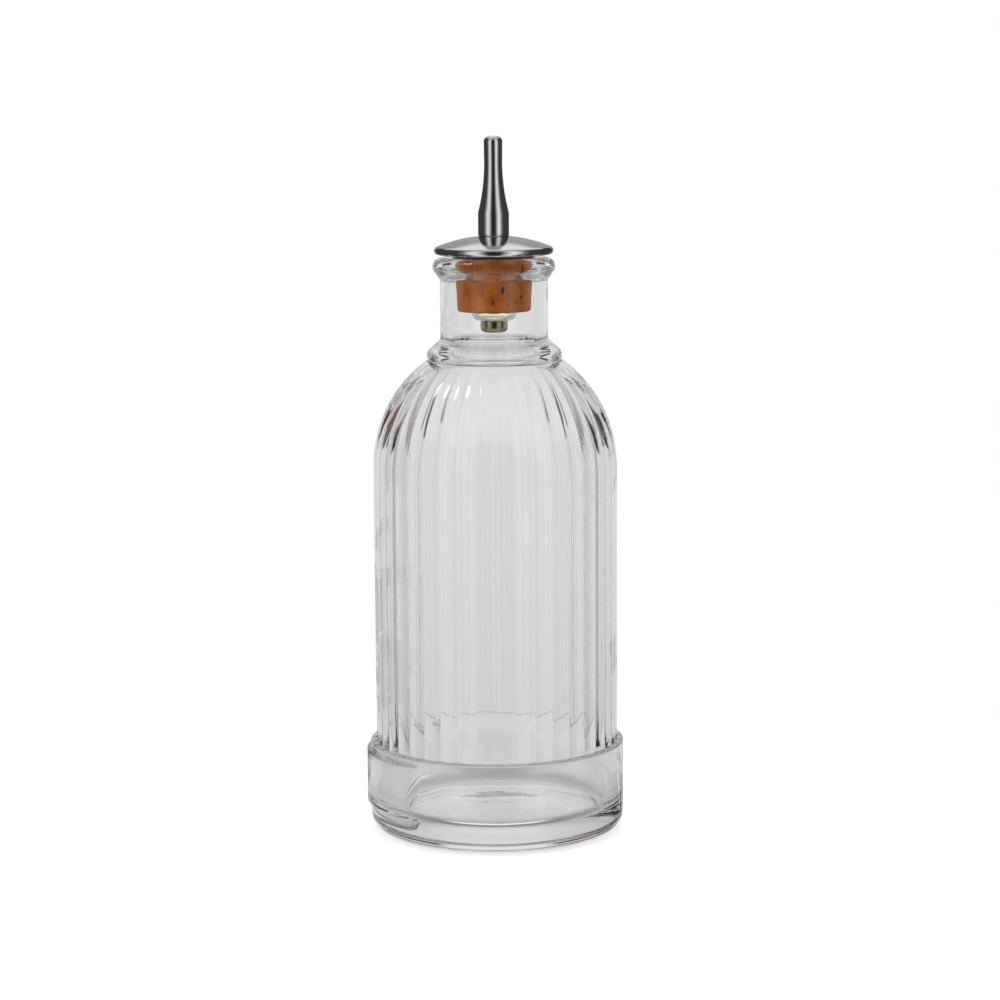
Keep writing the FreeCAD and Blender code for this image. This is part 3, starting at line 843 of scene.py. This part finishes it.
def large_pores(mesh):
    """How deep each point of the cork lies in one of the larger pores."""
    numbers = []
    for vertex in mesh.vertices:
        radius = vertex.co.xy.length
        direction = math.atan2(vertex.co.y, vertex.co.x)
        deepest = 0.0
        for degrees, height, half_width, half_height in LARGE_PORES:
            middle = FRONT + math.radians(degrees)
            turn = (direction - middle + math.pi) % FULL_TURN - math.pi
            across = radius * turn / (half_width * MM)
            along = (vertex.co.z - CORK_BOX[0].z - height * MM) / (half_height * MM)
            deepest = max(deepest, 1.0 - math.hypot(across, along) ** 2)
        numbers.append(deepest if radius > CORK_BOX[1].x / 2 else 0.0)
    return numbers


class BITTERS_OT_cork(bpy.types.Operator):
    """Builds the tapered cork with its grain and pores"""

    bl_idname = "bitters.cork"
    bl_label = "Cork"

    def execute(self, context):
        sizes = context.scene.bitters_stopper
        foot, top = CORK_BOX[0].z, CORK_BOX[1].z
        top_radius = CORK_BOX[1].x
        foot_radius = top_radius - sizes.cork_taper * (top - foot - sizes.cork_edge)
        outline = Outline(sizes.screw_passage, foot, spacing=0.22 * MM)
        outline.round_to((foot_radius, foot), sizes.cork_edge, (foot_radius, top), 4)
        outline.lines_to((top_radius, top), (sizes.screw_passage, top))
        outline.line_to(sizes.screw_passage, foot + LAST_BORE_ROW, 10)
        cork = turned_piece("dash_cork", outline, columns=260)
        store(cork.data, "pit", large_pores(cork.data))
        material = natural_cork(context.scene.bitters_finishes)
        values = {"Pit depth": sizes.pit_depth, "Grain depth": sizes.grain_depth, "Material": material}
        shaped_by(cork, cork_tree(values), values)
        dress(cork, "cork_stopper", "stopper", material)
        return {"FINISHED"}


class BITTERS_OT_washer(bpy.types.Operator):
    """Builds the thin rubber washer between the cork and the disc"""

    bl_idname = "bitters.washer"
    bl_label = "Sealing washer"

    def execute(self, context):
        sizes = context.scene.bitters_stopper
        foot, top = WASHER_BOX[0].z, WASHER_BOX[1].z
        edge = WASHER_BOX[1].x
        outline = Outline(sizes.screw_passage, foot, spacing=1.5 * MM)
        outline.through((edge, foot, sizes.washer_round, 4), (edge, top, sizes.washer_round, 4), (0.0, top))
        outline.line_to(sizes.screw_passage, top)
        washer = turned_piece("rubber_washer", outline, columns=128)
        material = black_rubber(context.scene.bitters_finishes)
        dress(washer, "sealing_washer", "stopper", material)
        return {"FINISHED"}


class BITTERS_OT_disc(bpy.types.Operator):
    """Builds the polished domed disc that covers the mouth"""

    bl_idname = "bitters.disc"
    bl_label = "Cap disc"

    def execute(self, context):
        sizes = context.scene.bitters_stopper
        underside = DISC_BOX[0].z
        rim = DISC_BOX[1].x - sizes.rim_round
        rim_height = underside + sizes.rim_round
        rim_reach = sizes.dome_radius - sizes.rim_round
        rim_angle = math.acos(rim / rim_reach)
        dome_centre = rim_height - math.sqrt(rim_reach ** 2 - rim ** 2)
        seat_angle = math.acos(SPOUT_BOX[1].x / sizes.dome_radius)
        recess = WASHER_BOX[1].x + sizes.recess_gap
        recess_top = underside + sizes.disc_recess
        outline = Outline(sizes.screw_passage, recess_top, spacing=1.2 * MM)
        outline.lines_to((recess, recess_top), (recess, underside), (rim, underside))
        outline.arc_round(rim, rim_height, math.pi / 2 + rim_angle, 14)
        outline.arc_round(0.0, dome_centre, seat_angle - rim_angle, 30)
        outline.line_to(sizes.screw_passage, DISC_BOX[1].z)
        disc = turned_piece("domed_disc", outline, columns=220)
        material = polished_chrome(context.scene.bitters_finishes)
        dress(disc, "cap_disc", "stopper", material)
        return {"FINISHED"}


class BITTERS_OT_spout(bpy.types.Operator):
    """Builds the tapered spout with its rounded tip and its passage"""

    bl_idname = "bitters.spout"
    bl_label = "Spout"

    def execute(self, context):
        sizes = context.scene.bitters_stopper
        seat, tip_height = SPOUT_BOX[0].z, SPOUT_BOX[1].z
        foot = SPOUT_BOX[1].x
        waist = sizes.waist_diameter / 2
        tip = sizes.tip_diameter / 2
        outlet = sizes.outlet_diameter / 2
        passage = sizes.passage_diameter / 2
        socket = sizes.socket_diameter / 2
        socket_top = seat + sizes.socket_depth
        outlet_foot = tip_height - sizes.outlet_length

        # The taper is an arc that is upright at the waist, and the knee takes up its lowest part.
        drop = sizes.waist_height - sizes.foot_length
        spread = foot - waist
        taper_radius = (drop ** 2 + spread ** 2) / (2 * spread)
        above_knee = math.asin(drop / taper_radius) * (1 - KNEE_SHARE)
        taper_centre = (waist + taper_radius, seat + sizes.waist_height)
        knee_end = on_circle(*taper_centre, taper_radius, math.pi + above_knee)
        outline = Outline(socket, seat, spacing=0.8 * MM)
        outline.lines_to((foot - sizes.foot_chamfer, seat), (foot, seat + sizes.foot_chamfer))
        outline.round_to((foot, seat + sizes.foot_length), sizes.knee_round, knee_end, 8)
        outline.line_to(*knee_end)
        outline.arc_round(*taper_centre, -above_knee, 24)
        outline.round_to((tip, tip_height), sizes.tip_round, (outlet, tip_height), 12)
        outline.lines_to((outlet, tip_height), (outlet, outlet_foot))
        outline.line_to(passage, outlet_foot - sizes.passage_diameter)
        outline.lines_to((passage, socket_top), (socket, socket_top))
        spout = turned_piece("dash_spout", outline, columns=160)
        material = polished_chrome(context.scene.bitters_finishes)
        dress(spout, "spout", "stopper", material)
        return {"FINISHED"}


class BITTERS_OT_cup_washer(bpy.types.Operator):
    """Builds the dished washer under the cork"""

    bl_idname = "bitters.cup_washer"
    bl_label = "Cup washer"

    def execute(self, context):
        sizes = context.scene.bitters_stopper
        foot = CUP_BOX[0].z
        height = CUP_BOX[1].z - foot
        seat = sizes.screw_passage + sizes.cup_seat
        spread = CUP_BOX[1].x - seat
        bowl = (spread ** 2 + height ** 2) / (2 * height)
        bowl_turn = math.acos((bowl - height) / bowl)
        inner = bowl - sizes.cup_thickness
        inner_turn = math.acos((bowl - height) / inner)
        centre = (seat, foot + bowl)
        outline = Outline(sizes.screw_passage, foot, spacing=0.5 * MM)
        outline.line_to(seat, foot)
        outline.arc_round(*centre, bowl_turn, 16)
        outline.line_to(*on_circle(*centre, inner, inner_turn - math.pi / 2))
        outline.arc_round(*centre, -inner_turn, 14)
        outline.line_to(sizes.screw_passage, foot + sizes.cup_thickness)
        cup = turned_piece("cup_washer_bowl", outline, columns=128)
        tone = context.scene.bitters_finishes.cup_steel
        material = metal("bright_steel", tone, sharp=0.10, dull=0.24, line_height=0.002 * MM)
        dress(cup, "cup_washer", "cup_washer", material)
        return {"FINISHED"}


class BITTERS_OT_screw(bpy.types.Operator):
    """Gives the hollow screw its dull turned steel"""

    bl_idname = "bitters.screw"
    bl_label = "Hollow screw"

    def execute(self, context):
        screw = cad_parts["hollow_screw"]
        tone = context.scene.bitters_finishes.screw_steel
        material = metal("dark_steel", tone, sharp=0.18, dull=0.36, line_height=0.003 * MM)
        for slot in screw.material_slots:
            slot.material = material
        return {"FINISHED"}


# Stage

# What the metal mirrors round the horizon: share of the half turn from behind the bottle, and brightness
METAL_SURROUNDINGS = (
    (0.0, 0.42), (0.10, 0.32), (0.15, 0.05), (0.58, 0.05), (0.66, 0.26), (0.72, 0.80),
    (0.79, 1.0), (0.86, 0.45), (0.92, 0.04), (1.0, 0.015),
)
# What the glass mirrors round the horizon
GLASS_SURROUNDINGS = (
    (0.0, 0.72), (0.35, 0.55), (0.7, 0.16), (1.0, 0.10),
)
# What is seen through the glass from below to above: share of the way from straight down to straight up
BACKDROP_LEVELS = (
    (0.07, 0.28), (0.21, 0.44), (0.35, 0.62), (0.42, 0.78), (0.47, 0.81), (0.55, 0.80),
    (0.62, 0.72), (0.70, 0.62), (0.85, 0.58), (1.0, 0.66),
)
AMBIENT_LEVEL = 0.5
# Soft shade of the backdrop away from its middle
SHADE_ASIDE = (0.02, 0.16)
SHADE_LEVEL = 0.14
# Dark panels of the room on both sides of the backdrop, red in the upper part of the left one
ROOM_ASIDE = (0.08, 0.115, 0.26, 0.36)
ROOM_HEIGHT = (-0.01, 0.015, 0.16, 0.24)
ROOM_TONE = (0.035, 0.035, 0.037)
ROOM_RED = (0.18, 0.055, 0.05)
RED_ASIDE = (-0.2, 0.0)
RED_HEIGHT = (0.08, 0.13)
# Ceiling, and a lamp high behind the bottle
CEILING_HEIGHT = (0.62, 0.85)
CEILING_LEVEL = 0.45
BACK_LAMP_ASIDE = (0.16, 0.34)
BACK_LAMP_HEIGHT = (0.48, 0.62, 0.97, 1.0)
BACK_LAMP_LEVEL = 0.95
# The front half of the room, with a pale table in it, and a window at the upper left
FRONT_HALF = (0.46, 0.6)
TABLE_HEIGHT = (-0.42, -0.16)
TABLE_LEVEL = 0.95
WINDOW_DIRECTION = (-0.53, -0.06, 0.846)
WINDOW_EDGE = (0.992, 0.997)
WINDOW_STRENGTH = 9.0
# Counts of a ray's bounces: mirrored at least once, and through more than the two faces of one wall
ONCE_MIRRORED = 0.5
PAST_ONE_WALL = 2.5
BOUNCES = {"max_bounces": 24, "glossy_bounces": 16, "transmission_bounces": 24}
FLOOR_RINGS = 24
FLOOR_COLUMNS = 96
FLOOR_DROP = 0.1 * MM
FLOOR_TONES = (0.90, 0.92)
FLOOR_FADE = (0.06, 0.20)
# Lamps: name, place and side in metres, and watts
LAMPS = (
    ("key_lamp", (-0.9, -0.9, 1.1), 0.9, 12.0),
    ("fill_lamp", (1.0, -0.8, 0.9), 0.9, 7.0),
    ("top_lamp", (0.0, 0.2, 1.5), 1.2, 12.0),
)
LAMP_AIM = (0.0, 0.0, 0.09)


def backdrop(tree, from_back, aside, height, stray):
    """The pale sweep behind and under the bottle, and a dark panel of the room on both sides of it.

    Stray rays, which were mirrored in the glass and went through more than one wall, don't see the panel.
    """
    upwards = maths(tree, "ADD", times(tree, height, 0.5), 0.5)
    shade = smooth_step(tree, from_back, *SHADE_ASIDE, at_high=SHADE_LEVEL)
    sweep = mixed(tree, shade, ramp(tree, upwards, BACKDROP_LEVELS), solid(BLACK))
    beside = times(tree, maths(tree, "SUBTRACT", 1.0, stray), between(tree, from_back, *ROOM_ASIDE))
    room = times(tree, beside, between(tree, height, *ROOM_HEIGHT))
    left = smooth_step(tree, aside, *RED_ASIDE, 1.0, 0.0)
    red_left = times(tree, left, smooth_step(tree, height, *RED_HEIGHT))
    return mixed(tree, room, sweep, mixed(tree, red_left, solid(ROOM_TONE), solid(ROOM_RED)))


def metal_view(tree, from_back, height):
    """What polished metal mirrors: panels round the horizon, a lamp high behind the bottle, and a ceiling."""
    ceiling = smooth_step(tree, height, *CEILING_HEIGHT)
    seen = mixed(tree, ceiling, ramp(tree, from_back, METAL_SURROUNDINGS), grey(CEILING_LEVEL))
    behind = smooth_step(tree, from_back, *BACK_LAMP_ASIDE, 1.0, 0.0)
    back_lamp = times(tree, behind, between(tree, height, *BACK_LAMP_HEIGHT))
    return mixed(tree, back_lamp, seen, grey(BACK_LAMP_LEVEL))


def studio_world(scene):
    """A white studio: soft grey light, panels for the metal and a pale backdrop for the glass."""
    world = bpy.data.worlds.new("studio")
    scene.world = world
    world.use_nodes = True
    tree = world.node_tree
    tree.nodes.clear()
    path = node(tree, "ShaderNodeLightPath").outputs
    direction = node(tree, "ShaderNodeTexCoord").outputs["Generated"]
    aside, away, height = split(tree, direction)
    half_turn = maths(tree, "ABSOLUTE", maths(tree, "ARCTAN2", aside, away))
    from_back = maths(tree, "DIVIDE", half_turn, math.pi)
    metal_sees = metal_view(tree, from_back, height)
    facing = vector_maths(tree, "DOT_PRODUCT", {0: direction, 1: WINDOW_DIRECTION}, "Value")
    window = smooth_step(tree, facing, *WINDOW_EDGE, at_high=WINDOW_STRENGTH)
    glass_mirrors = vector_maths(tree, "ADD", {0: ramp(tree, from_back, GLASS_SURROUNDINGS), 1: window})
    mirrored = maths(tree, "GREATER_THAN", path["Glossy Depth"], ONCE_MIRRORED)
    stray = times(tree, mirrored, maths(tree, "GREATER_THAN", path["Transmission Depth"], PAST_ONE_WALL))
    in_front = times(tree, smooth_step(tree, from_back, *FRONT_HALF), mirrored)
    front = mixed(tree, smooth_step(tree, height, *TABLE_HEIGHT, 1.0, 0.0), metal_sees, grey(TABLE_LEVEL))
    glass_sees = mixed(tree, in_front, backdrop(tree, from_back, aside, height, stray), front)
    sharp = times(tree, path["Is Glossy Ray"], path["Is Singular Ray"])
    seen = mixed(tree, path["Is Glossy Ray"], grey(AMBIENT_LEVEL), metal_sees)
    seen = mixed(tree, sharp, seen, glass_mirrors)
    seen = mixed(tree, path["Is Transmission Ray"], seen, glass_sees)
    seen = mixed(tree, path["Is Camera Ray"], seen, solid(WHITE))
    shine = node(tree, "ShaderNodeBackground", {"Color": seen})
    node(tree, "ShaderNodeOutputWorld", {"Surface": shine.outputs[0]})


def studio_floor(floor_radius):
    """A pale floor that keeps the soft shadow near the bottle and runs out into white."""
    outline = [Vector((floor_radius * (step / FLOOR_RINGS) ** 2, 0.0)) for step in range(FLOOR_RINGS + 1)]
    mesh = turned_mesh("studio_floor", outline, even_angles(FLOOR_COLUMNS), closed=False)[0]
    mesh.transform(Matrix.Translation((0.0, 0.0, -FLOOR_DROP)))
    floor = new_object("studio_floor", mesh)
    material, tree, shader = new_material("studio_floor")
    tree.nodes.remove(shader)
    place = object_place(tree)
    radius = vector_maths(tree, "LENGTH", {0: place}, "Value")
    paper = noise(tree, place, scale=300.0, detail=3.0)
    tone = mixed(tree, paper, grey(FLOOR_TONES[0]), grey(FLOOR_TONES[1]))
    near = node(tree, "ShaderNodeBsdfDiffuse", {"Color": tone})
    far = node(tree, "ShaderNodeEmission", {"Color": solid(WHITE)})
    fade = smooth_step(tree, radius, *FLOOR_FADE)
    both = node(tree, "ShaderNodeMixShader", {0: fade, 1: near.outputs[0], 2: far.outputs[0]})
    tree.links.new(both.outputs[0], tree.nodes["Material Output"].inputs["Surface"])
    mesh.materials.append(material)
    floor.visible_glossy = False
    floor.visible_transmission = False


def soft_lamp(name, place, side, watts):
    """A large square lamp that lights the object and isn't itself mirrored or seen through glass."""
    lamp = bpy.data.lights.new(name, "AREA")
    lamp.size = side
    lamp.energy = watts
    carrier = new_object(name, lamp)
    carrier.location = place
    carrier.rotation_euler = (Vector(LAMP_AIM) - Vector(place)).to_track_quat("-Z", "Y").to_euler()
    carrier.visible_glossy = False
    carrier.visible_transmission = False
    carrier.visible_camera = False


class BITTERS_OT_stage(bpy.types.Operator):
    """Builds the studio: floor, backdrop, lamps and camera"""

    bl_idname = "bitters.stage"
    bl_label = "Studio stage"

    def execute(self, context):
        scene = context.scene
        settings = scene.bitters_stage
        scene.view_settings.view_transform = "Standard"
        for name, count in BOUNCES.items():
            setattr(scene.cycles, name, count)
        studio_world(scene)
        studio_floor(settings.floor_radius)
        for lamp in LAMPS:
            soft_lamp(*lamp)
        camera = bpy.data.cameras.new("camera")
        camera.lens = settings.lens
        holder = new_object("camera", camera)
        place = Matrix.Translation((0.0, -settings.camera_distance, settings.camera_height))
        pan = Matrix.Rotation(settings.camera_pan, 4, "Z")
        tilt = Matrix.Rotation(math.pi / 2 - settings.camera_tilt, 4, "X")
        lean = Matrix.Rotation(settings.camera_roll, 4, "Z")
        holder.matrix_world = place @ pan @ tilt @ lean
        scene.camera = holder
        return {"FINISHED"}


class BITTERS_PT_panel(bpy.types.Panel):
    """Lists the bottle's pieces and the sizes and colours that they are built with"""

    bl_label = "Bitters Bottle"
    bl_idname = "BITTERS_PT_panel"
    bl_space_type = "VIEW_3D"
    bl_region_type = "UI"
    bl_category = "Bitters Bottle"

    def draw(self, context):
        layout = self.layout
        for operator in PIECE_OPERATORS:
            layout.operator(operator.bl_idname)
        for group_name in SETTING_GROUPS:
            group = getattr(context.scene, group_name)
            box = layout.box()
            for name in group.__annotations__:
                box.prop(group, name)


PIECE_OPERATORS = (
    BITTERS_OT_glass,
    BITTERS_OT_cork,
    BITTERS_OT_washer,
    BITTERS_OT_disc,
    BITTERS_OT_spout,
    BITTERS_OT_cup_washer,
    BITTERS_OT_screw,
    BITTERS_OT_stage,
)
SETTING_GROUPS = {
    "bitters_glass": GlassSizes,
    "bitters_stopper": StopperSizes,
    "bitters_finishes": Finishes,
    "bitters_stage": StageSettings,
}


def register():
    for name, group in SETTING_GROUPS.items():
        bpy.utils.register_class(group)
        setattr(bpy.types.Scene, name, bpy.props.PointerProperty(type=group))
    for operator in (*PIECE_OPERATORS, BITTERS_PT_panel):
        bpy.utils.register_class(operator)


def unregister():
    for operator in (BITTERS_PT_panel, *reversed(PIECE_OPERATORS)):
        bpy.utils.unregister_class(operator)
    for name, group in SETTING_GROUPS.items():
        delattr(bpy.types.Scene, name)
        bpy.utils.unregister_class(group)


def main():
    register()
    bpy.ops.bitters.glass()
    bpy.ops.bitters.cork()
    bpy.ops.bitters.washer()
    bpy.ops.bitters.disc()
    bpy.ops.bitters.spout()
    bpy.ops.bitters.cup_washer()
    bpy.ops.bitters.screw()
    bpy.ops.bitters.stage()


if __name__ == "__main__":
    main()
